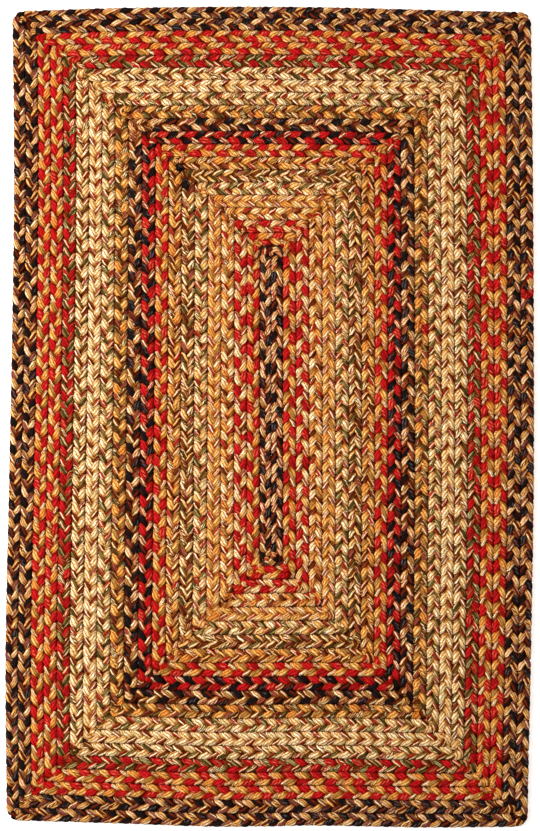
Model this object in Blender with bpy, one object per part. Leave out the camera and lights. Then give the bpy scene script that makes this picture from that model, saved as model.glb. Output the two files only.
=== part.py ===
"""Braided rug: 19 closed rings of flat braid around a folded centre braid, laid flat.

Metres, +Z up. The long side lies along Y, the underside on Z = 0, and the origin is under the
middle of the rug. Each ring is one solid: a rib with a rounded top, drawn-in sides and a flat
underside, turned squarely at the rug's four corners.
"""

import math

import bpy

# Driving dimensions.
ROW_SIDE = 0.01905  # width of one braid row along the long sides, a 3/4 inch braid
ROW_TOP = 0.0185  # the rows beyond the centre braid's upper end are laced a little tighter
ROW_BOTTOM = 0.0197  # and those beyond its lower end a little looser
CENTRE_LENGTH = 0.467  # the folded centre braid, end to end
THICKNESS = 0.0105  # a braid's three strands pressed flat
RINGS = 20  # the twentieth is the folded centre braid
GAP = 0.00036  # between neighbouring rows, before they are pulled together

OUTLINE_RADIUS = 1.0 * ROW_SIDE  # the rug's own corners
SEAM_RADIUS = 0.55 * ROW_SIDE  # the corners of the seams between the rows
CORNER_STEPS = 3  # straight pieces in a corner's quarter turn
LONG_PIECES = 6  # straight pieces of a long side, short enough to follow its wander
SHORT_PIECES = 4  # and of a short side

HALF_WIDTH = RINGS * ROW_SIDE
HALF_LENGTH = ((RINGS - 1) * (ROW_TOP + ROW_BOTTOM) + CENTRE_LENGTH) / 2

# How far each side of the handmade outline stands out of a true rectangle, in millimetres, at six
# even places: the left and right sides from the bottom up, the others from left to right.
SIDE_WANDER = {
    "left": (2.0, 5.0, 1.5, -2.0, -3.5, 0.0),
    "right": (-13.0, -7.0, -1.5, 0.0, 0.0, -1.5),
    "bottom": (-9.0, -5.0, 0.0, -1.5, 1.0, 0.0),
    "top": (-6.5, -2.0, 0.0, -0.7, -4.5, -8.0),
}

# The rows are not laced together evenly. How far the seams stand out of even rows, in millimetres,
# at shares of the way from the rug's middle out to each side.
LACING = {
    "left": ((0, 0.05, 0.15, 0.3, 0.45, 0.6, 0.75, 0.9, 1), (1.5, -0.9, -1.8, -0.5, 0.3, 2.7, 3.1, 1.6, 0)),
    "right": ((0, 0.05, 0.15, 0.3, 0.45, 0.6, 0.75, 0.9, 1), (-1.5, -3.6, -3.7, -3.2, -3.4, -1.6, -1.6, -0.9, 0)),
    "bottom": ((0, 0.4, 0.5, 0.6, 0.7, 0.8, 0.9, 1), (0, -1.0, -0.2, 1.0, 2.4, 2.2, 0.6, 0)),
    "top": ((0, 0.4, 0.5, 0.6, 0.7, 0.8, 0.9, 1), (0, 0, -0.6, -0.3, 1.1, 2.9, 2.5, 0)),
}

# A row's section: across the row from its outer edge, and height, both as shares.
SECTION = (
    # across, height
    (0.00, 0.42),
    (0.08, 0.80),
    (0.32, 1.00),
    (0.68, 1.00),
    (0.92, 0.80),
    (1.00, 0.42),
    (0.84, 0.00),
    (0.16, 0.00),
)

# Each ring's main colour (linear RGB), from the outermost ring to the centre braid.
CHARCOAL = (0.030, 0.022, 0.022)
RED = (0.440, 0.018, 0.020)
GOLD = (0.560, 0.270, 0.060)
CREAM = (0.680, 0.520, 0.280)
TAN = (0.400, 0.210, 0.090)
OLIVE = (0.150, 0.115, 0.040)
RING_COLOURS = (
    CHARCOAL, CHARCOAL, RED, RED, OLIVE, CREAM, CREAM, CREAM, GOLD, CHARCOAL,
    RED, RED, GOLD, TAN, OLIVE, CREAM, GOLD, RED, RED, CHARCOAL,
)


def node_name(ring):
    """Name of a ring, counted from 1 at the rug's edge."""
    return "braid_centre" if ring == RINGS else f"braid_{ring:02d}"


def wander(side, place):
    """How far a side stands out, in metres, at a place from -1 to 1 along it.

    The six values are joined by a smooth curve (Catmull-Rom).
    """
    values = SIDE_WANDER[side]
    last = len(values) - 1
    along = min(max((place + 1) / 2, 0.0), 1.0) * last
    step = min(int(along), last - 1)
    t = along - step
    before, start, end, after = (values[min(max(step + k, 0), last)] for k in (-1, 0, 1, 2))
    curve = start + t * (end - before) / 2
    curve += t * t * (before - 2.5 * start + 2 * end - after / 2)
    curve += t**3 * (1.5 * (start - end) + (after - before) / 2)
    return curve / 1000


def pulled(side, out):
    """How far a seam stands out of its even place, in metres, at a share of the way out."""
    places, moves = LACING[side]
    out = min(out, 1.0)
    for start, end, first, last in zip(places, places[1:], moves, moves[1:]):
        if out <= end:
            return (first + (last - first) * (out - start) / (end - start)) / 1000
    return moves[-1] / 1000


def warped(x, y):
    """A point of the true rectangle, moved as the handmade rug is."""
    across, along = x / HALF_WIDTH, y / HALF_LENGTH
    side = wander("right", along) if across > 0 else -wander("left", along)
    end = wander("top", across) if along > 0 else -wander("bottom", across)
    side = side * abs(across) + (pulled("right", across) if across > 0 else -pulled("left", -across))
    end = end * abs(along) + (pulled("top", along) if along > 0 else -pulled("bottom", -along))
    return x + side, y + end


def boundary(rows_in, clearance):
    """Points of the closed line that lies rows_in rows inside the rug's edge.

    A rectangle with rounded corners, counter-clockwise from the lower right corner. clearance
    moves it inwards. Every line has the same number of points, so a row's two edges match, and
    neighbouring rows follow the same line.
    """
    right = max(HALF_WIDTH - rows_in * ROW_SIDE - clearance, GAP / 2)
    top = HALF_LENGTH - rows_in * ROW_TOP - clearance
    bottom = -HALF_LENGTH + rows_in * ROW_BOTTOM + clearance
    radius = min(OUTLINE_RADIUS if rows_in in (0, RINGS - 1) else SEAM_RADIUS, right)
    corners = (
        # centre of the corner's arc, its first angle, pieces of the side that follows
        (right - radius, bottom + radius, -90, LONG_PIECES),
        (right - radius, top - radius, 0, SHORT_PIECES),
        (radius - right, top - radius, 90, LONG_PIECES),
        (radius - right, bottom + radius, 180, SHORT_PIECES),
    )
    points = []
    for number, (x, y, first, pieces) in enumerate(corners):
        for step in range(CORNER_STEPS + 1):
            turn = math.radians(first + 90 * step / CORNER_STEPS)
            points.append((x + radius * math.cos(turn), y + radius * math.sin(turn)))
        start = points[-1]
        following = corners[(number + 1) % 4]
        turn = math.radians(following[2])
        end = (following[0] + radius * math.cos(turn), following[1] + radius * math.sin(turn))
        for step in range(1, pieces):
            part = step / pieces
            points.append(tuple(a + (b - a) * part for a, b in zip(start, end)))
    return [warped(x, y) for x, y in points]


def ring_edges(ring):
    """The outer and the inner edge of a ring, point by point beside each other."""
    return boundary(ring - 1, GAP / 2), boundary(ring, -GAP / 2)


def middle_of(points):
    """Middle of the box around some points."""
    return tuple((min(values) + max(values)) / 2 for values in zip(*points))


def cloth_material(name, colour):
    """Matt yarn."""
    material = bpy.data.materials.new(name)
    material.use_nodes = True
    shader = material.node_tree.nodes["Principled BSDF"]
    shader.inputs["Base Color"].default_value = (*colour, 1.0)
    shader.inputs["Roughness"].default_value = 0.9
    shader.inputs["Metallic"].default_value = 0.0
    return material


def make_ring(ring, shift):
    """One closed ring: its section is carried along the row between the row's two edges."""
    outer, inner = ring_edges(ring)
    vertices = []
    for (x_out, y_out), (x_in, y_in) in zip(outer, inner):
        for across, height in SECTION:
            x = x_out + (x_in - x_out) * across - shift[0]
            y = y_out + (y_in - y_out) * across - shift[1]
            vertices.append((x, y, height * THICKNESS))
    stations, around = len(outer), len(SECTION)
    faces = []
    for station in range(stations):
        here, after = station * around, (station + 1) % stations * around
        for k in range(around):
            following = (k + 1) % around
            faces.append((here + k, after + k, after + following, here + following))
    mesh = bpy.data.meshes.new(node_name(ring))
    mesh.from_pydata(vertices, [], faces)
    mesh.materials.append(cloth_material(f"yarn_{node_name(ring)}", RING_COLOURS[ring - 1]))
    mesh.shade_smooth()
    bpy.context.scene.collection.objects.link(bpy.data.objects.new(node_name(ring), mesh))


def main():
    """Clear the scene and lay the rings from the edge inwards."""
    for thing in list(bpy.data.objects):
        bpy.data.objects.remove(thing)
    shift = middle_of(ring_edges(1)[0])
    for ring in range(1, RINGS + 1):
        make_ring(ring, shift)


main()
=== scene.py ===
"""Looks of the braided rug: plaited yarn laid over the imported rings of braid.

Each ring of the rug is one closed length of flat three-strand braid. Here every ring becomes three
strands of eight to eleven yarns each, plaited over and under each other along the ring's own centre
line, with the yarn colours of its colourway. Lengths are in metres, seen from above with +Y up the photo.
"""

import logging
import math
from dataclasses import dataclass
from enum import Enum
from typing import NamedTuple

import bpy
import numpy as np
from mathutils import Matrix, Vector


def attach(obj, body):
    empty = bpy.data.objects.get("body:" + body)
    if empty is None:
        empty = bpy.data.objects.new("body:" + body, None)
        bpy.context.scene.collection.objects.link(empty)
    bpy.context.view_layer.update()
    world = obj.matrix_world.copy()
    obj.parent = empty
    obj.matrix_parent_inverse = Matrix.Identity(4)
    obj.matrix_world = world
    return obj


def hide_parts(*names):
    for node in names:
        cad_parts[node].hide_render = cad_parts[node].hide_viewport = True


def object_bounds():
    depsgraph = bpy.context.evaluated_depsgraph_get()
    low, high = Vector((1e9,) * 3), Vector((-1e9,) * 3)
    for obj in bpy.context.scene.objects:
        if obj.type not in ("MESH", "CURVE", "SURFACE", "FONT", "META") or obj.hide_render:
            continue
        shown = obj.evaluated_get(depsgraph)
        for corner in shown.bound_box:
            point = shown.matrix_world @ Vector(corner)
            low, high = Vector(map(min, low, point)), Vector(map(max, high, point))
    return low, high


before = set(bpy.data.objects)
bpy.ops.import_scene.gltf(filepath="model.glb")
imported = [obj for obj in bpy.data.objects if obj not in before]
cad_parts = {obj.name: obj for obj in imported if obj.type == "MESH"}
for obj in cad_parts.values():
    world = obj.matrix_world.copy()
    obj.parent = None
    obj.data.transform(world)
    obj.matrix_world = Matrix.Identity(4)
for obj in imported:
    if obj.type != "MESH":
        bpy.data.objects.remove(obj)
CAD_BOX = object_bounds()

log = logging.getLogger("rug")

Array = np.ndarray
Socket = bpy.types.NodeSocket
Tree = bpy.types.NodeTree
TURN = 2 * math.pi
MM = 0.001
THICKNESS = CAD_BOX[1][2]


# ---------------------------------------------------------------------------------------------
# Colours and nodes


def linear(hex_colour: str) -> tuple[float, float, float, float]:
    """Turn an sRGB hex colour into linear values.

    Args:
        hex_colour: six hex digits, such as "c8161d".

    Returns:
        Linear red, green and blue, and an alpha of 1.
    """
    parts = [int(hex_colour[i : i + 2], 16) / 255 for i in (0, 2, 4)]
    red, green, blue = (p / 12.92 if p <= 0.04045 else ((p + 0.055) / 1.055) ** 2.4 for p in parts)
    return red, green, blue, 1.0


def add_node(tree: Tree, kind: str, settings: dict | None = None, **inputs: object) -> bpy.types.Node:
    """Add a node to a tree, with its settings and its inputs.

    Args:
        tree: the node tree.
        kind: the node's type, without "ShaderNode".
        settings: attributes of the node itself.
        **inputs: a socket's name, or its number after an underscore, and what goes in: an output
            socket of another node, or a value.

    Returns:
        The new node.
    """
    node = tree.nodes.new("ShaderNode" + kind)
    for name, value in (settings or {}).items():
        setattr(node, name, value)
    for name, value in inputs.items():
        socket = node.inputs[int(name[1:]) if name[1:].isdigit() else name.replace("_", " ")]
        if isinstance(value, Socket):
            tree.links.new(value, socket)
        else:
            socket.default_value = value
    return node


class Yarn(Enum):
    """The dyed yarns, as sRGB hex."""

    CHARCOAL = "1c1413"
    SLATE = "48403f"
    MAROON = "5e1f0e"
    BROWN = "6a3410"
    PLUM = "8e4a3c"
    RED = "ba181a"
    CRIMSON = "961214"
    CORAL = "ce4a34"
    RUST = "a04428"
    ORANGE = "dc8a3c"
    GOLD = "e2a04c"
    STRAW = "e6ae60"
    OCHRE = "a0743a"
    CREAM = "eaca92"
    IVORY = "f2d7a8"
    PEACH = "ecb688"
    TAN = "c8965a"
    OLIVE = "705f30"
    MOSS = "48381a"
    SAGE = "9e8c54"
    CELERY = "d2bc84"


YARN_LAY = "YarnLay"  # UV map of the strands: plaits along, share of the way around
BAKE_LAY = "OFBake"  # UV map: the strands side by side on one square
HUDDLE = "huddle"  # attribute of the strands: how near a corner of the row they are, 0 to 1

PLAIT_LENGTH = 49 * MM  # of a strand in one plait
WIND = 0.2  # turns of the yarns round their strand in a plait
PLIES = 9.0  # turns of a yarn's two plies round each other in a plait, one every 5 mm
FLECKS = 3.5  # stretches in a plait, 14 mm long, each with or without flecks
FIBRES = 420.0  # noise scale of the loose fibres, a mottle of 2.4 mm
DYE = 70.0  # and of the uneven dye, one of 14 mm
FIBRE_MOTTLE, DYE_MOTTLE, PLY_MOTTLE = 3.4, 0.5, 0.16  # how much each lightens and darkens the yarn
MOTTLE_BASE = -0.9  # with which they are about 1 on average
CORNER_SHADE = 0.3
WARMTH = (0.5, 0.97, 1.75)  # powers of the shade for red, green and blue


@dataclass(frozen=True)
class Strand:
    """A strand's recipe: eight to eleven wool and cotton yarns side by side, in a few colours.

    Spun yarn gives a matt, slightly hairy surface, fine shadows between the yarns, and in tweed
    yarns short flecks of another colour.
    """

    name: str
    yarns: tuple[Yarn, ...]
    fleck: Yarn
    fleck_share: float  # of the stretches
    bulk: float = 1.0  # how thick it is beside the others
    count: int = 8  # of yarns
    groove: float = 0.1  # how much light gets down between two yarns

    def material(self) -> bpy.types.Material:
        """Spun wool and cotton yarn, from the strand's own lay map."""
        known = bpy.data.materials.get("spun_yarn_" + self.name)
        if known is not None:
            return known
        made = bpy.data.materials.new("spun_yarn_" + self.name)
        made.use_nodes = True
        tree = made.node_tree
        shader = tree.nodes["Principled BSDF"]
        lay = add_node(tree, "UVMap", {"uv_map": YARN_LAY})
        parts = add_node(tree, "SeparateXYZ", _0=lay.outputs[0])
        along, around = parts.outputs[0], parts.outputs[1]
        wound = add_node(tree, "Math", {"operation": "MULTIPLY_ADD"}, _0=along, _1=-WIND, _2=around)
        across = add_node(tree, "Math", {"operation": "MULTIPLY"}, _0=wound.outputs[0], _1=float(self.count))
        across = across.outputs[0]
        # The two plies of a yarn wind round each other.
        wind = add_node(tree, "Math", {"operation": "MULTIPLY_ADD"}, _0=along, _1=PLIES, _2=across)
        wave = add_node(tree, "Math", {"operation": "MULTIPLY"}, _0=wind.outputs[0], _1=TURN)
        wave = add_node(tree, "Math", {"operation": "SINE"}, _0=wave.outputs[0]).outputs[0]
        # Painted shade: dark lines down between two yarns that lie against each other.
        share = add_node(tree, "Math", {"operation": "FRACT"}, _0=across)
        off = add_node(tree, "Math", {"operation": "SUBTRACT"}, _0=share.outputs[0], _1=0.5)
        off = add_node(tree, "Math", {"operation": "ABSOLUTE"}, _0=off.outputs[0])
        edge = add_node(
            tree, "MapRange", {"interpolation_type": "SMOOTHSTEP"},
            Value=off.outputs[0], From_Min=0.2, From_Max=0.5, To_Min=1.15, To_Max=self.groove,
        ).outputs[0]
        spot = add_node(tree, "TexCoord").outputs["Object"]
        fine = add_node(tree, "TexNoise", _0=spot, Scale=FIBRES, Detail=3.0, Roughness=0.7).outputs[0]

        colour = self.dye(tree, along, across, wave)
        shade = self.shade(tree, along, around, spot, fine, wave, edge)
        # Shade on wool keeps its red longest.
        warm = [add_node(tree, "Math", {"operation": "POWER"}, _0=shade, _1=power) for power in WARMTH]
        red, green, blue = (part.outputs[0] for part in warm)
        tint = add_node(tree, "CombineColor", _0=red, _1=green, _2=blue)
        multiply = {"data_type": "RGBA", "blend_type": "MULTIPLY"}
        colour = add_node(tree, "Mix", multiply, _0=1.0, _6=colour, _7=tint.outputs[0]).outputs[2]
        tree.links.new(colour, shader.inputs["Base Color"])

        height = add_node(tree, "Math", {"operation": "MULTIPLY_ADD"}, _0=wave, _1=0.25, _2=edge)
        height = add_node(tree, "Math", {"operation": "ADD"}, _0=height.outputs[0], _1=fine)
        bump = add_node(tree, "Bump", Strength=0.7, Distance=0.5 * MM, Height=height.outputs[0])
        tree.links.new(bump.outputs[0], shader.inputs["Normal"])
        shader.inputs["Roughness"].default_value = 0.92
        shader.inputs["Specular IOR Level"].default_value = 0.04
        return made

    def dye(self, tree: Tree, along: Socket, across: Socket, wave: Socket) -> Socket:
        """Each yarn's own colour. In some stretches one of its plies has the fleck's colour.

        Args:
            tree: the material's nodes.
            along: plaits along the strand.
            across: yarns across the strand.
            wave: 1 on one ply of a yarn and -1 on the other.

        Returns:
            The colour.
        """
        whole = add_node(tree, "Math", {"operation": "FLOOR"}, _0=across).outputs[0]
        number = add_node(tree, "Math", {"operation": "FLOORED_MODULO"}, _0=whole, _1=float(self.count))
        number = number.outputs[0]
        # The ramp is read a little past the start of each colour.
        share = 1 / len(self.yarns)
        place = add_node(tree, "Math", {"operation": "MULTIPLY_ADD"}, _0=number, _1=share, _2=0.04)
        place = add_node(tree, "Math", {"operation": "FRACT"}, _0=place.outputs[0])
        ramp = add_node(tree, "ValToRGB", _0=place.outputs[0])
        ramp.color_ramp.interpolation = "CONSTANT"
        stops = ramp.color_ramp.elements
        while len(stops) < len(self.yarns):
            stops.new(0.5)
        for step, yarn in enumerate(self.yarns):
            stops[step].position = step * share
            stops[step].color = linear(yarn.value)

        cell = add_node(tree, "Math", {"operation": "MULTIPLY"}, _0=number, _1=0.37)
        step = add_node(tree, "Math", {"operation": "MULTIPLY_ADD"}, _0=along, _1=FLECKS, _2=cell.outputs[0])
        whole = add_node(tree, "Math", {"operation": "FLOOR"}, _0=step.outputs[0])
        cell = add_node(tree, "CombineXYZ", _0=whole.outputs[0], _1=number)
        chance = add_node(tree, "TexWhiteNoise", {"noise_dimensions": "2D"}, Vector=cell.outputs[0])
        chance = chance.outputs["Value"]
        marled = add_node(tree, "Math", {"operation": "LESS_THAN"}, _0=chance, _1=self.fleck_share)
        ply = add_node(tree, "Math", {"operation": "GREATER_THAN"}, _0=wave, _1=0.0)
        both = add_node(tree, "Math", {"operation": "MULTIPLY"}, _0=marled.outputs[0], _1=ply.outputs[0])
        fleck = linear(self.fleck.value)
        mixed = add_node(tree, "Mix", {"data_type": "RGBA"}, _0=both.outputs[0], _6=ramp.outputs[0], _7=fleck)
        return mixed.outputs[2]

    def shade(
        self, tree: Tree, along: Socket, around: Socket, spot: Socket,
        fine: Socket, wave: Socket, edge: Socket,
    ) -> Socket:
        """How light the yarn is: uneven dye, loose fibres, and how much light gets to it.

        Args:
            tree: the material's nodes.
            along: plaits along the strand.
            around: share of the way round the strand.
            spot: the place in the rug.
            fine: the mottle of the fibres.
            wave: 1 on one ply of a yarn and -1 on the other.
            edge: lightness across a yarn, with painted shade down between the yarns.

        Returns:
            The lightness, about 1 on average on top of a strand.
        """
        wide = add_node(tree, "TexNoise", _0=spot, Scale=DYE, Detail=1.0).outputs[0]
        # Fibres and dye are the yarn's own uneven tone; the plies' part is painted shade, darker where the
        # ply lies lower in the bump.
        mottle = MOTTLE_BASE
        for part, strength in ((fine, FIBRE_MOTTLE), (wide, DYE_MOTTLE), (wave, PLY_MOTTLE)):
            mottle = add_node(tree, "Math", {"operation": "MULTIPLY_ADD"}, _0=part, _1=strength, _2=mottle)
            mottle = mottle.outputs[0]
        # Little light gets down between the strands: half the rug's height is the darkest.
        height = add_node(tree, "SeparateXYZ", _0=spot).outputs[2]
        deep = add_node(tree, "Math", {"operation": "SUBTRACT"}, _0=height, _1=THICKNESS / 2)
        deep = add_node(tree, "Math", {"operation": "ABSOLUTE"}, _0=deep.outputs[0])
        deep = add_node(
            tree, "MapRange", {"interpolation_type": "SMOOTHSTEP"},
            Value=deep.outputs[0], From_Min=0.0, From_Max=0.38 * THICKNESS, To_Min=0.3, To_Max=1.0,
        )
        # 1 at a strand's sides, where it lies on top or underneath, and at the row's edges.
        waves = []
        for way, turns, wave_form in ((around, 1, "COSINE"), (along, 2, "SINE"), (along, 1, "SINE")):
            angle = add_node(tree, "Math", {"operation": "MULTIPLY"}, _0=way, _1=turns * TURN)
            swing = add_node(tree, "Math", {"operation": wave_form}, _0=angle.outputs[0])
            waves.append(add_node(tree, "Math", {"operation": "ABSOLUTE"}, _0=swing.outputs[0]).outputs[0])
        side, lying, folded = waves
        # Nor to a strand's sides, where it lies flat between two others. At the row's edges it
        # stands on its side, and the light gets there.
        flank = add_node(
            tree, "MapRange", {"interpolation_type": "SMOOTHSTEP"},
            Value=side, From_Min=0.55, From_Max=1.0, To_Min=0.0, To_Max=-0.95,
        )
        flank = add_node(tree, "Math", {"operation": "MULTIPLY_ADD"}, _0=flank.outputs[0], _1=lying, _2=1.0)
        # Painted shade in the middle of the row, where each strand goes under the next.
        tuck = add_node(
            tree, "MapRange", {"interpolation_type": "SMOOTHSTEP"},
            Value=folded, From_Min=0.05, From_Max=0.6, To_Min=0.35, To_Max=1.0,
        )
        # At a corner the strands are pushed together and shade each other.
        near = add_node(tree, "Attribute", {"attribute_name": HUDDLE}).outputs["Fac"]
        near = add_node(tree, "Math", {"operation": "MULTIPLY_ADD"}, _0=near, _1=-CORNER_SHADE, _2=1.0)
        shade = mottle
        for light in (edge, flank.outputs[0], tuck.outputs[0], deep.outputs[0], near.outputs[0]):
            shade = add_node(tree, "Math", {"operation": "MULTIPLY"}, _0=shade, _1=light).outputs[0]
        return shade


Y = Yarn
CHARCOAL = Strand(
    "charcoal", (Y.CHARCOAL, Y.CHARCOAL, Y.MAROON, Y.CHARCOAL, Y.CHARCOAL), Y.SLATE, 0.3, 1.2, 8, 0.25
)
PLUM = Strand("plum", (Y.PLUM, Y.MAROON, Y.TAN, Y.PLUM, Y.CREAM), Y.SLATE, 0.3, 1.0, 11, 0.2)
TAN_MARL = Strand("tan_marl", (Y.CREAM, Y.MAROON, Y.STRAW, Y.TAN, Y.PEACH), Y.TAN, 0.35, 1.15, 9, 0.15)
OAT_MARL = Strand("oat_marl", (Y.CREAM, Y.OCHRE, Y.PEACH, Y.BROWN, Y.TAN), Y.PEACH, 0.3, 1.05, 8, 0.1)
WHEAT_MARL = Strand("wheat_marl", (Y.CREAM, Y.BROWN, Y.STRAW, Y.MOSS, Y.TAN), Y.PEACH, 0.25, 1.1, 8, 0.1)
RED = Strand("red", (Y.RED, Y.RED, Y.CRIMSON, Y.RED, Y.RED), Y.CORAL, 0.35, 1.4, 8, 0.25)
BRICK = Strand("brick", (Y.RED, Y.CRIMSON, Y.RED, Y.CRIMSON, Y.RUST), Y.CORAL, 0.2, 1.1, 8, 0.25)
GOLD = Strand("gold", (Y.GOLD, Y.STRAW, Y.OCHRE, Y.GOLD, Y.ORANGE), Y.STRAW, 0.3, 1.2, 8, 0.2)
AMBER = Strand("amber", (Y.ORANGE, Y.GOLD, Y.OCHRE, Y.ORANGE, Y.STRAW), Y.RUST, 0.3, 1.0, 8, 0.2)
STRAW = Strand("straw", (Y.STRAW, Y.CREAM, Y.GOLD, Y.IVORY, Y.TAN), Y.ORANGE, 0.3, 1.2, 10, 0.2)
STRAW_MARL = Strand("straw_marl", (Y.CREAM, Y.PEACH, Y.IVORY, Y.TAN, Y.PEACH), Y.RUST, 0.35, 0.6)
CREAM = Strand("cream", (Y.CREAM, Y.IVORY, Y.CREAM, Y.CELERY, Y.IVORY), Y.STRAW, 0.3, 1.2, 8, 0.2)
IVORY = Strand("ivory", (Y.IVORY, Y.CREAM, Y.CREAM, Y.IVORY, Y.STRAW), Y.STRAW, 0.3, 1.1, 8, 0.2)
BLUSH = Strand("blush", (Y.CREAM, Y.STRAW, Y.CREAM, Y.CELERY, Y.IVORY), Y.PEACH, 0.2, 1.35, 8, 0.2)
OLIVE = Strand("olive", (Y.SAGE, Y.MOSS, Y.OLIVE, Y.PEACH, Y.MOSS), Y.CELERY, 0.2, 0.9, 11)
SAGE = Strand("sage", (Y.SAGE, Y.OLIVE, Y.TAN, Y.OLIVE, Y.MOSS), Y.CREAM, 0.3, 0.9, 10)
OLIVE_MARL = Strand("olive_marl", (Y.OLIVE, Y.CREAM, Y.BROWN, Y.IVORY, Y.MOSS), Y.CREAM, 0.2, 0.95, 8, 0.1)
OLIVE_TWEED = Strand("olive_tweed", (Y.OLIVE, Y.MOSS, Y.BROWN, Y.SAGE, Y.MAROON), Y.CREAM, 0.3, 0.85, 10)
RED_MARL = Strand("red_marl", (Y.MAROON, Y.CREAM, Y.PLUM, Y.PEACH, Y.RUST), Y.RED, 0.3, 0.8, 10)
CREAM_FLECK = Strand("cream_fleck", (Y.RUST, Y.MAROON, Y.CREAM, Y.PLUM, Y.IVORY), Y.RED, 0.2, 0.75, 10)
MAROON_TWEED = Strand("maroon_tweed", (Y.MAROON, Y.BROWN, Y.CREAM, Y.RUST, Y.PLUM), Y.TAN, 0.3, 0.85, 10)
PEACH_MARL = Strand("peach_marl", (Y.PEACH, Y.MAROON, Y.STRAW, Y.BROWN, Y.TAN), Y.CREAM, 0.25, 0.95, 9, 0.1)
RUST_TWEED = Strand("rust_tweed", (Y.RUST, Y.RED, Y.PEACH, Y.MAROON, Y.BROWN), Y.CREAM, 0.3, 0.8, 10)
ROSE = Strand("rose", (Y.PEACH, Y.RUST, Y.IVORY, Y.PLUM, Y.PEACH), Y.RED, 0.25, 0.85, 10)


@dataclass(frozen=True)
class Colourway:
    """The three strands of a ring and how evenly they are plaited."""

    strands: tuple[Strand, Strand, Strand]
    plaits: int  # how often the plait repeats on the way round
    # How many plaits further on it is than an even braid from the lower right corner on:
    ahead: float  # on average,
    ahead_first: float = 0.0  # more at that corner, and less halfway round,
    ahead_quarter: float = 0.0  # more a quarter of the way on, and less at three quarters

    @property
    def bulks(self) -> Array:
        """How thick the strands are beside their average."""
        bulks = np.array([strand.bulk for strand in self.strands])
        return bulks / bulks.mean()


# Rings from the edge inwards. The last is the folded centre braid.
COLOURWAYS = (
    Colourway((CHARCOAL, TAN_MARL, PLUM), 94, 0.25, 0.15, 0.35),
    Colourway((CHARCOAL, TAN_MARL, PLUM), 91, 0.15, 0.4, 0.1),
    Colourway((RED, GOLD, STRAW_MARL), 87, 0.75),
    Colourway((RED, GOLD, STRAW_MARL), 83, 0.55, 0.15, 0.1),
    Colourway((BRICK, OLIVE, RUST_TWEED), 80, 0.7, 0.0, 0.5),
    Colourway((CREAM, OLIVE_MARL, CREAM_FLECK), 76, 0.1, 0.0, 0.3),
    Colourway((CREAM, CREAM, CREAM_FLECK), 73, 0.6, 0.1, 0.2),
    Colourway((CREAM, SAGE, RED_MARL), 81, 0.75, 0.2, 0.3),
    Colourway((GOLD, OLIVE_TWEED, MAROON_TWEED), 74, 0.95, 0.1, 0.35),
    Colourway((CHARCOAL, OAT_MARL, MAROON_TWEED), 61, 0.35, 0.1),
    Colourway((RED, CHARCOAL, ROSE), 58, 0.6, 0.1, 0.15),
    Colourway((RED, GOLD, STRAW_MARL), 53, 0.0, 0.1, 0.25),
    Colourway((GOLD, PEACH_MARL, RUST_TWEED), 50, 0.55, 0.1, 0.1),
    Colourway((WHEAT_MARL, MAROON_TWEED, OLIVE_MARL), 45, 0.1),
    Colourway((BLUSH, SAGE, RED_MARL), 49, 0.6, 0.0, 0.05),
    Colourway((GOLD, STRAW, ROSE), 38, 0.9),
    Colourway((IVORY, AMBER, RUST_TWEED), 38, 0.9),
    Colourway((RED, IVORY, ROSE), 31, 0.65),
    Colourway((RED, GOLD, STRAW_MARL), 26, 0.0, -0.1, 0.05),
    Colourway((CHARCOAL, OAT_MARL, ROSE), 23, 0.35, -0.1),
)


@dataclass(frozen=True)
class Splice:
    """A short stretch where other yarn was worked into a ring, or an end was tucked in."""

    ring: int
    spot: tuple[float, float]  # x and y in millimetres
    reach: float  # in millimetres
    strand: Strand
    replaced: int | None = None  # which of the ring's strands, or all three

    def covers(self, hearts: Array) -> Array:
        """Say where the splice is.

        Args:
            hearts: middles of the ring's strands, by strand and step.

        Returns:
            Whether each of them is spliced.
        """
        x, y = hearts[..., 0] / MM - self.spot[0], hearts[..., 1] / MM - self.spot[1]
        near = np.hypot(x, y) < self.reach
        if self.replaced is not None:
            near &= np.arange(len(hearts))[:, None] == self.replaced
        return near


SPLICES = (
    Splice(1, (49, 591), 8, TAN_MARL),
    Splice(1, (60, 581), 12, CHARCOAL),
    Splice(1, (43, 574), 8, CHARCOAL),
    Splice(1, (69, 589), 8, CHARCOAL),
    Splice(1, (372, 174), 9, RED),
    Splice(1, (379, 199), 6, RED),
    Splice(5, (-8, 517), 22, OLIVE, 2),
    Splice(5, (-301, 387), 7, CHARCOAL),
    Splice(8, (-218, 464), 13, OLIVE_TWEED),
    Splice(9, (215, 130), 11, AMBER),
    Splice(9, (228, 122), 7, BRICK),
    Splice(10, (-189, 416), 20, MAROON_TWEED, 0),
    Splice(13, (-132, 361), 7, CHARCOAL),
    Splice(14, (-126, 336), 6, CHARCOAL),
    Splice(18, (-39, 266), 9, CREAM_FLECK),
    Splice(18, (-53, 265), 5, OLIVE),
    Splice(18, (-13, 262), 5, OLIVE),
    Splice(18, (-39, -21), 9, MAROON_TWEED),
)


# ---------------------------------------------------------------------------------------------
# Where the rows lie


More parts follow.
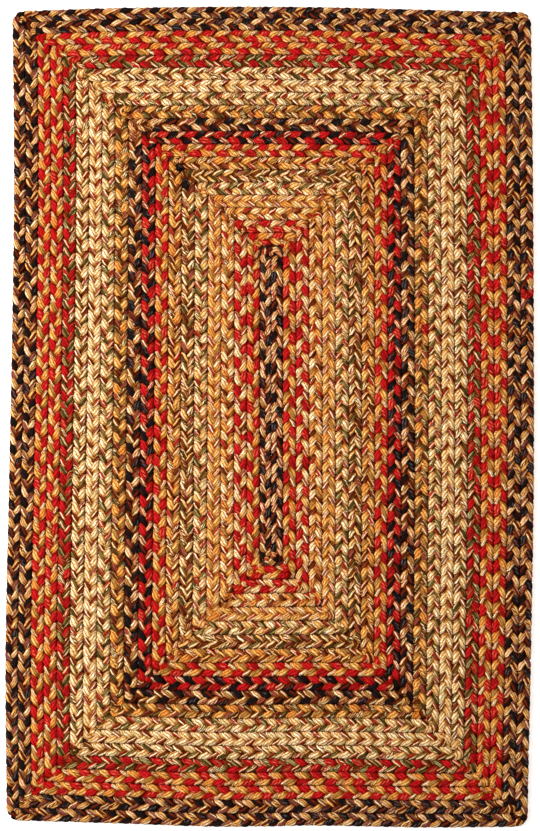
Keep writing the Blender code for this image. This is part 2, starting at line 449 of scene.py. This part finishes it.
@dataclass(frozen=True)
class RugPlan:
    """The rug seen from above, with the sizes of its solids.

    Each row's centre line is a rectangle with rounded corners, so many rows inside the rug's
    edge. The handmade outline wanders off the true rectangle, and every row follows it.
    """

    rings: int = 20
    row_side: float = 19.05 * MM
    row_top: float = 18.5 * MM
    row_bottom: float = 19.7 * MM
    centre_length: float = 467 * MM
    corner_radius: float = 19.05 * MM  # of the rug's own corners
    # How far each side stands out of the true rectangle, in millimetres, at six even places.
    left: tuple[float, ...] = (2.0, 5.0, 1.5, -2.0, -3.5, 0.0)
    right: tuple[float, ...] = (-13.0, -7.0, -1.5, 0.0, 0.0, -1.5)
    bottom: tuple[float, ...] = (-9.0, -5.0, 0.0, -1.5, 1.0, 0.0)
    top: tuple[float, ...] = (-6.5, -2.0, 0.0, -0.7, -4.5, -8.0)
    # The rows are not laced together evenly. How far the seams stand out of even rows, in
    # millimetres, at shares of the way from the rug's middle out to each side.
    side_shares: tuple[float, ...] = (0, 0.05, 0.15, 0.3, 0.45, 0.6, 0.75, 0.9, 1)
    pull_left: tuple[float, ...] = (1.5, -0.9, -1.8, -0.5, 0.3, 2.7, 3.1, 1.6, 0)
    pull_right: tuple[float, ...] = (-1.5, -3.6, -3.7, -3.2, -3.4, -1.6, -1.6, -0.9, 0)
    end_shares: tuple[float, ...] = (0, 0.4, 0.5, 0.6, 0.7, 0.8, 0.9, 1)
    pull_bottom: tuple[float, ...] = (0, -1.0, -0.2, 1.0, 2.4, 2.2, 0.6, 0)
    pull_top: tuple[float, ...] = (0, 0, -0.6, -0.3, 1.1, 2.9, 2.5, 0)

    @property
    def half_width(self) -> float:
        """Half the true rectangle's width."""
        return self.rings * self.row_side

    @property
    def half_length(self) -> float:
        """Half the true rectangle's length."""
        return ((self.rings - 1) * (self.row_top + self.row_bottom) + self.centre_length) / 2

    @staticmethod
    def wander(values: tuple[float, ...], place: Array) -> Array:
        """How far a side stands out, in metres: a Catmull-Rom curve through the six values.

        Args:
            values: the six values in millimetres.
            place: places from -1 to 1 along the side.

        Returns:
            The distance outwards at each place.
        """
        held = np.array(values) * MM
        last = len(held) - 1
        along = np.clip((place + 1) / 2, 0, 1) * last
        step = np.minimum(along.astype(int), last - 1)
        t = along - step
        before, start, end, after = (held[np.clip(step + k, 0, last)] for k in (-1, 0, 1, 2))
        return (
            start
            + t * (end - before) / 2
            + t**2 * (before - 2.5 * start + 2 * end - after / 2)
            + t**3 * (1.5 * (start - end) + (after - before) / 2)
        )

    def warped(self, x: Array, y: Array) -> tuple[Array, Array]:
        """Move points of the true rectangle as the handmade rug is.

        A point moves with the side it is nearest to, in proportion to its distance from the
        rug's middle, and with its seam.

        Args:
            x: places across.
            y: places along.

        Returns:
            The moved x and y.
        """
        across, along = x / self.half_width, y / self.half_length
        side = np.where(across > 0, self.wander(self.right, along), -self.wander(self.left, along))
        end = np.where(along > 0, self.wander(self.top, across), -self.wander(self.bottom, across))
        pull_side = np.where(
            across > 0,
            np.interp(across, self.side_shares, self.pull_right),
            -np.interp(-across, self.side_shares, self.pull_left),
        )
        pull_end = np.where(
            along > 0,
            np.interp(along, self.end_shares, self.pull_top),
            -np.interp(-along, self.end_shares, self.pull_bottom),
        )
        return x + side * np.abs(across) + pull_side * MM, y + end * np.abs(along) + pull_end * MM

    def line(self, rows_in: float, radius: float, corner_steps: int, side_steps: int) -> tuple[Array, ...]:
        """The closed line so many rows inside the true rectangle, counter-clockwise.

        Four quarter circles joined by straight sides, from the lower right corner on.

        Args:
            rows_in: rows between the rug's edge and the line.
            radius: of the corners.
            corner_steps: pieces of a quarter circle.
            side_steps: pieces of a straight side.

        Returns:
            x, y and the direction that faces outwards, as an angle that grows all the way round.
        """
        right = self.half_width - rows_in * self.row_side
        top = self.half_length - rows_in * self.row_top
        bottom = -self.half_length + rows_in * self.row_bottom
        radius = min(radius, right)
        corners = np.array(
            [
                (right - radius, bottom + radius),
                (right - radius, top - radius),
                (radius - right, top - radius),
                (radius - right, bottom + radius),
            ]
        )
        turns = np.linspace(-0.25, 0.0, corner_steps + 1)[None, :] + np.arange(4)[:, None] / 4
        turns = turns * TURN
        arcs = np.stack([np.cos(turns), np.sin(turns)], -1) * radius + corners[:, None, :]
        share = np.linspace(0, 1, side_steps + 1)[None, 1:-1, None]
        following = np.roll(arcs[:, 0], -1, axis=0)[:, None, :]
        sides = arcs[:, -1:, :] * (1 - share) + following * share
        points = np.concatenate([arcs, sides], axis=1).reshape(-1, 2)
        held = np.repeat(turns[:, -1:], side_steps - 1, axis=1)
        angles = np.concatenate([turns, held], axis=1).reshape(-1)
        return points[:, 0], points[:, 1], angles

    def middle(self) -> tuple[float, float]:
        """Middle of the box around the warped outline, which the solids have at their origin."""
        x, y, _ = self.line(0, self.corner_radius, corner_steps=12, side_steps=60)
        x, y = self.warped(x, y)
        return float(x.min() + x.max()) / 2, float(y.min() + y.max()) / 2


# ---------------------------------------------------------------------------------------------
# Meshes


def mesh_object(name: str, points: Array, quads: Array, slots: list[bpy.types.Material]) -> bpy.types.Object:
    """Make a smooth mesh object from arrays.

    Args:
        name: the object's name.
        points: vertices, one row each.
        quads: four vertex numbers a row.
        slots: its materials.

    Returns:
        The object, linked to the scene at the origin.
    """
    mesh = bpy.data.meshes.new(name)
    mesh.vertices.add(len(points))
    mesh.vertices.foreach_set("co", points.astype(np.float32).ravel())
    mesh.loops.add(quads.size)
    mesh.loops.foreach_set("vertex_index", quads.astype(np.int32).ravel())
    mesh.polygons.add(len(quads))
    mesh.polygons.foreach_set("loop_start", np.arange(0, quads.size, 4, dtype=np.int32))
    mesh.update(calc_edges=True)
    mesh.shade_smooth()
    for material in slots:
        mesh.materials.append(material)
    made = bpy.data.objects.new(name, mesh)
    bpy.context.scene.collection.objects.link(made)
    return made


def squared(wave: Array, sharpness: float) -> Array:
    """Flatten the tops of a wave that runs from -1 to 1, and steepen its way through zero.

    Args:
        wave: the wave.
        sharpness: how many times steeper it passes zero.

    Returns:
        wave / sqrt(wave^2 + (1 - wave^2) / sharpness^2).
    """
    return wave / np.sqrt(wave**2 + (1 - wave**2) / sharpness**2)


def ripple(rng: np.random.Generator, place: Array, first: int, last: int, sines: int = 9) -> Array:
    """Smooth unevenness that closes on itself: sine waves with random phases, about 1 high.

    Args:
        rng: where the phases come from.
        place: share of the way round, 0 to 1, one row for each strand.
        first: waves round the ring of the slowest sine.
        last: and of the fastest.
        sines: how many there are at most.

    Returns:
        The sum of the waves at each place, other waves for each strand.
    """
    counts = np.unique(np.linspace(first, last, sines).astype(int))
    phases = rng.uniform(0, TURN, (len(place), 1, len(counts)))
    waves = np.sin(TURN * place[..., None] * counts + phases)
    return waves.sum(-1) / math.sqrt(len(counts) / 2)


class StrandPaths(NamedTuple):
    """The middle lines of a ring's strands, each array by strand and step."""

    points: Array  # x y z
    facing: Array  # which way the flat of the strand faces
    outward: Array  # which way the row's outer edge is
    to_outer: Array  # how far the row's outer edge is
    to_inner: Array  # and its inner edge
    size: Array  # how much wider than usual the strand is
    plaits: Array  # plaits up to there
    huddle: Array  # how near a corner it is, 0 to 1


@dataclass(frozen=True)
class BraidRing:
    """One closed ring of flat three-strand braid.

    Each strand swings from edge to edge once in a plait. It folds up round the row's edge, lies
    on top as it crosses to the middle, dives there under the next strand, and reaches the other
    edge underneath. With t the strand's own turn in the plait:

    - sideways it is at sin t,
    - its height is -(sin 2t + part of sin 4t), with flattened tops,
    - along the row it is at t + part of cos 2t, so it runs faster on top than underneath.

    Its section is a flattened oval. It stands on its side at the edges, where the strand folds
    over, and lies flat in between. What would stick out of the row is pressed flat at its edge.
    """

    plan: RugPlan
    number: int  # counted from 1 at the rug's edge
    colourway: Colourway
    thickness: float

    segments: int = 16  # of a strand in one plait
    sides: int = 8  # of a strand's section
    detail: float = 0.25  # how much closer the segments lie at the row's edges
    corner_steps: int = 24  # pieces of a quarter turn in the row's centre line
    side_steps: int = 2  # and of its straight sides
    corner_extra: float = 0.6  # how far outside the row its braid is measured, in rows

    # The strand's path.
    over: float = 0.3  # how much faster it runs along on top than underneath
    swing: float = 0.35  # how far from the centre line it goes, of the row's width
    edge: float = 0.525  # how far from the centre line the row ends, of its width
    round_room: float = 0.475  # its room outwards in a row with round corners, 0.5 in the others
    rise: float = 0.22  # of the thickness
    dive: float = -0.1  # share of sin 4t
    flat_tops: float = 1.2  # how squared the rise is
    fold: float = 4.0  # how suddenly it turns over

    # Its section.
    half_wide: float = 0.27  # half its width, of the row's width
    half_high: float = 0.29  # half its height, of the thickness
    fullness: float = 2.3  # 2 is an ellipse, more is squarer
    corner_wide: float = 0.5  # how much of a square corner's extra width it takes

    # Handwork is uneven, and most so where the strands are pushed together at the corners.
    seed: int = 100  # and the ring's number
    uneven_pace: float = 0.03  # in plaits
    uneven_swing: float = 0.03  # the others as shares
    uneven_rise: float = 0.05
    uneven_size: float = 0.05
    corner_reach: float = 1.1  # how far from a corner they are pushed together, in rows
    jumbled_swing: float = 0.15
    jumbled_rise: float = -0.3
    jumbled_size: float = -0.1

    @property
    def rounded(self) -> bool:
        """Whether its outer edge turns in quarter circles, and not squarely."""
        return self.number in (1, self.plan.rings)

    @property
    def turn_radius(self) -> float:
        """Radius of its centre line's corners."""
        return (0.5 if self.rounded else 0.35) * self.plan.row_side

    @property
    def name(self) -> str:
        """The ring's node in the solids."""
        return "braid_centre" if self.number == self.plan.rings else f"braid_{self.number:02d}"

    def centre_line(self) -> tuple[Array, ...]:
        """The row's centre line, dense enough to read places from.

        Distance is measured a little outside it, so that there is more braid at the corners.

        Returns:
            Distance along it, x, y and the outward angle, with the first point repeated last.
        """
        x, y, angle = self.plan.line(self.number - 0.5, self.turn_radius, self.corner_steps, self.side_steps)
        x, y, angle = np.append(x, x[0]), np.append(y, y[0]), np.append(angle, angle[0] + TURN)
        stretch = self.corner_extra * self.plan.row_side
        paced_x, paced_y = x + stretch * np.cos(angle), y + stretch * np.sin(angle)
        along = np.concatenate([[0], np.cumsum(np.hypot(np.diff(paced_x), np.diff(paced_y)))])
        return along, x, y, angle

    def pace(self, rng: np.random.Generator) -> tuple[Array, Array]:
        """How the three strands run on, by strand and step.

        Args:
            rng: where the unevenness comes from.

        Returns:
            Each strand's turn in its plait, and its share of the way round the row.
        """
        plaits = self.colourway.plaits
        steps = plaits * self.segments
        turn = np.arange(steps) / steps * plaits * TURN
        turn = turn + self.detail / 2 * np.sin(2 * turn)
        turn = np.stack([turn, turn, turn])
        bulks = self.colourway.bulks
        start = (np.cumsum(bulks) - bulks / 2)[:, None] * TURN / 3
        place = turn - start + self.over / 2 * np.cos(2 * turn)
        place = place / (plaits * TURN)
        way = self.colourway
        wave = way.ahead_first * np.cos(TURN * place) + way.ahead_quarter * np.sin(TURN * place)
        place = place + (way.ahead + wave) / plaits
        place = place + self.uneven_pace / plaits * ripple(rng, place, 3, plaits // 3)
        return turn, place

    def room(self, out_x: Array, out_y: Array) -> tuple[Array, ...]:
        """How much room the row has. It has more in square corners.

        Args:
            out_x: x of the way that faces outwards.
            out_y: its y.

        Returns:
            The row's width, how much longer the way across it is than in a straight row, and how
            far its centre line is from its outer and from its inner edge, in rows.
        """
        plan = self.plan
        row = plan.row_side + (plan.row_top - plan.row_side) * np.clip(out_y, 0, 1) ** 2
        row = row + (plan.row_bottom - plan.row_side) * np.clip(-out_y, 0, 1) ** 2
        slant = 1 / np.maximum(np.abs(out_x), np.abs(out_y))
        radius = self.turn_radius / plan.row_side
        outward = self.round_room if self.rounded else (radius + 0.5) * slant - radius
        inward = radius - (radius - 0.5) * slant
        if self.number == plan.rings - 1:  # the ends of the centre braid inside it are round
            inward = inward + slant - 1
        return row, slant, outward, inward

    def strand_paths(self) -> StrandPaths:
        """The three strands' middle lines."""
        plan, plaits = self.plan, self.colourway.plaits
        along, line_x, line_y, line_angle = self.centre_line()
        round_trip = along[-1]
        rng = np.random.default_rng(self.seed + self.number)
        turn, place = self.pace(rng)
        here = (place % 1.0) * round_trip
        x, y = np.interp(here, along, line_x), np.interp(here, along, line_y)
        angle = np.interp(here, along, line_angle)
        out_x, out_y = np.cos(angle), np.sin(angle)
        row, slant, outward, inward = self.room(out_x, out_y)

        corners = along[self.corner_steps // 2 :: self.corner_steps + self.side_steps]
        far = np.abs((here[..., None] - corners + round_trip / 2) % round_trip - round_trip / 2).min(axis=-1)
        huddle = np.exp(-((far / (self.corner_reach * plan.row_side)) ** 2))
        jumble = huddle * ripple(rng, place, plaits, 2 * plaits)

        uneven = self.uneven_swing * ripple(rng, place, 5, plaits // 2)
        sway = np.sin(turn) * (1 + uneven + self.jumbled_swing * jumble)
        reach = row * sway * (np.where(sway > 0, outward, inward) - 0.5 + self.swing)
        outer = plan.warped(x + out_x * row / 2, y + out_y * row / 2)
        inner = plan.warped(x - out_x * row / 2, y - out_y * row / 2)
        squeezed = np.hypot(outer[0] - inner[0], outer[1] - inner[1]) / row
        x, y = plan.warped(x + out_x * reach, y + out_y * reach)
        middle = plan.middle()

        # A little more than 1 high before it is clipped, so its tops are flat.
        lift = (np.sin(2 * turn) + self.dive * np.sin(4 * turn)) / (1 + 0.4 * self.dive)
        lift = -self.rise * squared(np.clip(lift, -1, 1), self.flat_tops)
        uneven = self.uneven_rise * ripple(rng, place, 4, plaits // 2)
        lift = lift * (1 + uneven + self.jumbled_rise * jumble)
        lean = -TURN / 4 * squared(np.cos(turn), self.fold)
        size = 1 + self.uneven_size * ripple(rng, place, 4, plaits)
        size = size + self.corner_wide * (slant - 1) + self.jumbled_size * jumble
        return StrandPaths(
            points=np.stack([x - middle[0], y - middle[1], self.thickness * (0.5 + lift)], -1),
            facing=np.stack([out_x * np.cos(lean), out_y * np.cos(lean), np.sin(lean)], -1),
            outward=np.stack([out_x, out_y, np.zeros_like(out_x)], -1),
            to_outer=squeezed * (row * (outward - 0.5 + self.edge) - reach),
            to_inner=squeezed * (row * (inward - 0.5 + self.edge) + reach),
            size=squeezed * size * self.colourway.bulks[:, None],
            plaits=turn / TURN,
            huddle=huddle,
        )

    def surface(self) -> tuple[Array, Array, Array]:
        """The strands' skins: a flattened oval carried along each path.

        The oval's short axis points the way that the flat of the strand faces, and its long axis
        is square to that and to the path.

        Returns:
            Points as an array of strand, step, side and x y z, the plaits up to each step, and
            how near a corner each step of each strand is.
        """
        paths = self.strand_paths()
        path, facing = paths.points, paths.facing
        ahead = np.roll(path, -1, axis=1) - np.roll(path, 1, axis=1)
        ahead /= np.linalg.norm(ahead, axis=-1, keepdims=True)
        level = np.cross(facing, ahead)
        level /= np.linalg.norm(level, axis=-1, keepdims=True)
        upright = np.cross(ahead, level)
        angle = np.arange(self.sides) / self.sides * TURN
        across = np.sign(np.cos(angle)) * np.abs(np.cos(angle)) ** (2 / self.fullness)
        upward = np.sign(np.sin(angle)) * np.abs(np.sin(angle)) ** (2 / self.fullness)
        wide = self.half_wide * self.plan.row_side * paths.size[..., None, None] * across[:, None]
        high = self.half_high * self.thickness * upward[:, None]
        offset = level[:, :, None] * wide + upright[:, :, None] * high
        outward = (offset * paths.outward[:, :, None]).sum(-1)
        pressed = np.clip(outward, -paths.to_inner[..., None], paths.to_outer[..., None]) - outward
        points = path[:, :, None] + offset + paths.outward[:, :, None] * pressed[..., None]
        points[..., 2] = np.clip(points[..., 2], 0.0, self.thickness)
        return points, paths.plaits[0], paths.huddle

    def build(self) -> bpy.types.Object:
        """The ring's mesh, with a material for each strand and the yarns' lay as UV maps."""
        points, plaits, huddle = self.surface()
        strands, steps, sides, _ = points.shape
        base = np.arange(strands)[:, None, None] * steps * sides
        step = np.arange(steps)[None, :, None]
        side = np.arange(sides)[None, None, :]
        here, after, beside = step * sides, (step + 1) % steps * sides, (side + 1) % sides
        corners = (here + side, here + beside, after + beside, after + side)
        quads = np.stack([base + corner for corner in corners], -1)
        used = list(self.colourway.strands)
        owner = np.repeat(np.arange(strands)[:, None], steps, axis=1)
        for splice in SPLICES:
            if splice.ring == self.number:
                owner[splice.covers(points.mean(axis=2))] = len(used)
                used.append(splice.strand)
        slots = [strand.material() for strand in used]
        made = mesh_object(self.name + "_plait", points.reshape(-1, 3), quads.reshape(-1, 4), slots)
        mesh = made.data
        mesh.polygons.foreach_set("material_index", np.repeat(owner.ravel(), sides).astype(np.int32))
        mesh.attributes.new(HUDDLE, "FLOAT", "POINT").data.foreach_set(
            "value", np.repeat(huddle.ravel(), sides).astype(np.float32)
        )
        self.lay_yarns(mesh, strands, sides, plaits)
        return made

    def lay_yarns(self, mesh: bpy.types.Mesh, strands: int, sides: int, plaits: Array) -> None:
        """Write the two UV maps.

        The yarns' lay is plaits along and share around. The other map lays the strands in equal
        rows over one square, as many rows as make the steps along and around alike in size.

        Args:
            mesh: the ring's mesh.
            strands: its strands.
            sides: sides around each.
            plaits: the plaits up to each step.
        """
        steps = len(plaits)
        order = np.arange(strands * steps).reshape(strands, steps, 1)
        step = np.broadcast_to(order, (strands, steps, sides))
        side = np.broadcast_to(np.arange(sides), step.shape)
        far = np.array([0, 0, 1, 1])
        over = np.array([0, 1, 1, 0])
        closed = np.append(plaits, steps / self.segments)
        lay = np.stack([closed[step[..., None] % steps + far], (side[..., None] + over) / sides], -1)
        mesh.uv_layers.new(name=YARN_LAY).uv.foreach_set("vector", lay.astype(np.float32).ravel())
        girth = math.pi * (self.half_wide * self.plan.row_side + self.half_high * self.thickness)
        pitch = PLAIT_LENGTH / self.segments
        rows = max(1, round(math.sqrt(strands * steps * pitch / girth)))
        row_steps = math.ceil(strands * steps / rows)
        row, column = step // row_steps, step % row_steps
        margin = 0.02  # between the rows
        inside = margin + (1 - 2 * margin) * (side[..., None] + over) / sides
        square = np.stack([(column[..., None] + far) / row_steps, (row[..., None] + inside) / rows], -1)
        mesh.uv_layers.new(name=BAKE_LAY).uv.foreach_set("vector", square.astype(np.float32).ravel())


@dataclass(frozen=True)
class GapShadeSheet:
    """A dark sheet of painted shade in the middle of the braids, standing for the shade down there.

    Seen only as darkness down in the gaps between the strands: one thin closed layer at half
    the rug's height, from half a row inside its edge.
    """

    plan: RugPlan
    thickness: float
    low: float = 0.36  # its faces, as shares of the rug's thickness
    high: float = 0.46
    insets: tuple[float, ...] = (0.5, 5.0, 10.0, 15.0, 19.98)  # its loops, in rows from the edge
    turn_radius: float = 0.55 * 19.05 * MM  # of their corners
    corner_steps: int = 4  # pieces of a corner
    side_steps: int = 12  # and of a side

    def material(self) -> bpy.types.Material:
        """Painted shade: dark brown with a fibre mottle, for the gaps that little light reaches."""
        made = bpy.data.materials.new("painted_gap_shade")
        made.use_nodes = True
        tree = made.node_tree
        shader = tree.nodes["Principled BSDF"]
        spot = add_node(tree, "TexCoord").outputs["Object"]
        fibre = add_node(tree, "TexNoise", _0=spot, Scale=600.0, Detail=2.0)
        ramp = add_node(tree, "ValToRGB", _0=fibre.outputs[0])
        ramp.color_ramp.elements[0].position, ramp.color_ramp.elements[1].position = 0.35, 0.7
        # Painted shade in two dark browns, mottled like fibre.
        ramp.color_ramp.elements[0].color = linear("2c160c")
        ramp.color_ramp.elements[1].color = linear("5c3218")
        tree.links.new(ramp.outputs[0], shader.inputs["Base Color"])
        bump = add_node(tree, "Bump", Strength=0.5, Distance=0.4 * MM, Height=fibre.outputs[0])
        tree.links.new(bump.outputs[0], shader.inputs["Normal"])
        shader.inputs["Roughness"].default_value = 0.95
        return made

    def build(self) -> bpy.types.Object:
        """The layer's skin: a loop in and out again, carried round the rug.

        On top it runs from half a row inside the edge to the middle, and below it runs back.
        The slit left in the middle is under a millimetre wide, below the centre braid.
        """
        plan = self.plan
        insets = self.insets + self.insets[::-1]
        heights = np.repeat([self.high, self.low], len(self.insets)) * self.thickness
        middle = plan.middle()
        loops = []
        for inset, height in zip(insets, heights):
            x, y, _ = plan.line(inset, self.turn_radius, self.corner_steps, self.side_steps)
            x, y = plan.warped(x, y)
            loops.append(np.stack([x - middle[0], y - middle[1], np.full_like(x, height)], -1))
        points = np.stack(loops)
        count = points.shape[1]
        loop = np.arange(len(points))[:, None] * count
        following = np.roll(loop, -1, axis=0)
        here = np.arange(count)[None, :]
        after = (here + 1) % count
        quads = np.stack([loop + here, loop + after, following + after, following + here], -1)
        return mesh_object("painted_shade_sheet", points.reshape(-1, 3), quads.reshape(-1, 4), [self.material()])


# ---------------------------------------------------------------------------------------------
# Studio


@dataclass(frozen=True)
class Studio:
    """A plain pale floor, soft light and the camera that looks down on the rug as the photo does."""

    distance: float = 2.5
    tilt: float = math.radians(2.15)
    frame_height: float = 1.2105  # metres that the picture's height spans at the rug
    aim: tuple[float, float, float] = (-0.0009, -0.0028, 0.0)
    floor_half: float = 6.0
    floor_drop: float = 0.2 * MM  # so that the underside doesn't share its plane
    floor_glow: float = 0.6
    room_light: float = 0.3

    def floor(self) -> bpy.types.Object:
        """A wide floor lit from below, as pale as in the photo, which the rug lies on."""
        half, low = self.floor_half, -self.floor_drop
        points = np.array([(-half, -half, low), (half, -half, low), (half, half, low), (-half, half, low)])
        made = bpy.data.materials.new("matt_paper")
        made.use_nodes = True
        shader = made.node_tree.nodes["Principled BSDF"]
        shader.inputs["Base Color"].default_value = linear("f4f3f0")
        shader.inputs["Emission Color"].default_value = linear("ffffff")
        shader.inputs["Emission Strength"].default_value = self.floor_glow
        shader.inputs["Roughness"].default_value = 0.9
        return mesh_object("floor", points, np.array([[0, 1, 2, 3]]), [made])

    def lamp(
        self, name: str, place: tuple[float, float, float], size: float, power: float, tone: str
    ) -> None:
        """A square soft light that faces the rug.

        Args:
            name: the light's name.
            place: where it hangs.
            size: its side.
            power: in watts.
            tone: its colour as hex.
        """
        data = bpy.data.lights.new(name, "AREA")
        data.shape, data.size, data.energy = "SQUARE", size, power
        data.color = linear(tone)[:3]
        made = bpy.data.objects.new(name, data)
        made.location = place
        made.rotation_euler = (-made.location).to_track_quat("-Z", "Y").to_euler()
        bpy.context.scene.collection.objects.link(made)

    def camera(self) -> None:
        """Look down at the rug from a little below its middle."""
        data = bpy.data.cameras.new("camera")
        data.sensor_fit, data.sensor_height = "VERTICAL", 36.0
        data.lens = data.sensor_height * self.distance / self.frame_height
        made = bpy.data.objects.new("camera", data)
        made.location = (
            self.aim[0],
            self.aim[1] - self.distance * math.sin(self.tilt),
            self.distance * math.cos(self.tilt),
        )
        made.rotation_euler = (self.tilt, 0.0, 0.0)
        bpy.context.scene.collection.objects.link(made)
        bpy.context.scene.camera = made

    def build(self) -> bpy.types.Object:
        """Set up light, camera and floor."""
        world = bpy.data.worlds.new("room")
        world.use_nodes = True
        world.node_tree.nodes["Background"].inputs["Color"].default_value = linear("ffffff")
        world.node_tree.nodes["Background"].inputs["Strength"].default_value = self.room_light
        bpy.context.scene.world = world
        bpy.context.scene.view_settings.view_transform = "Standard"
        self.lamp("key", (-1.75, 0.15, 1.85), size=1.2, power=76.0, tone="fffcf6")
        self.lamp("fill", (1.1, 1.2, 2.2), size=1.6, power=16.5, tone="ffd8b0")
        self.camera()
        return self.floor()


# ---------------------------------------------------------------------------------------------


def main() -> None:
    """Build the rug ring by ring, then the studio."""
    logging.basicConfig(level=logging.INFO, format="%(name)s: %(message)s")
    plan = RugPlan()
    for number, colourway in enumerate(COLOURWAYS, 1):
        ring = BraidRing(plan, number, colourway, THICKNESS)
        made = ring.build()
        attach(made, "root")
        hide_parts(ring.name)
        log.info("%s: %d faces", made.name, len(made.data.polygons))
    inner = GapShadeSheet(plan, THICKNESS).build()
    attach(inner, "root")
    Studio().build()


if __name__ == "__main__":
    main()
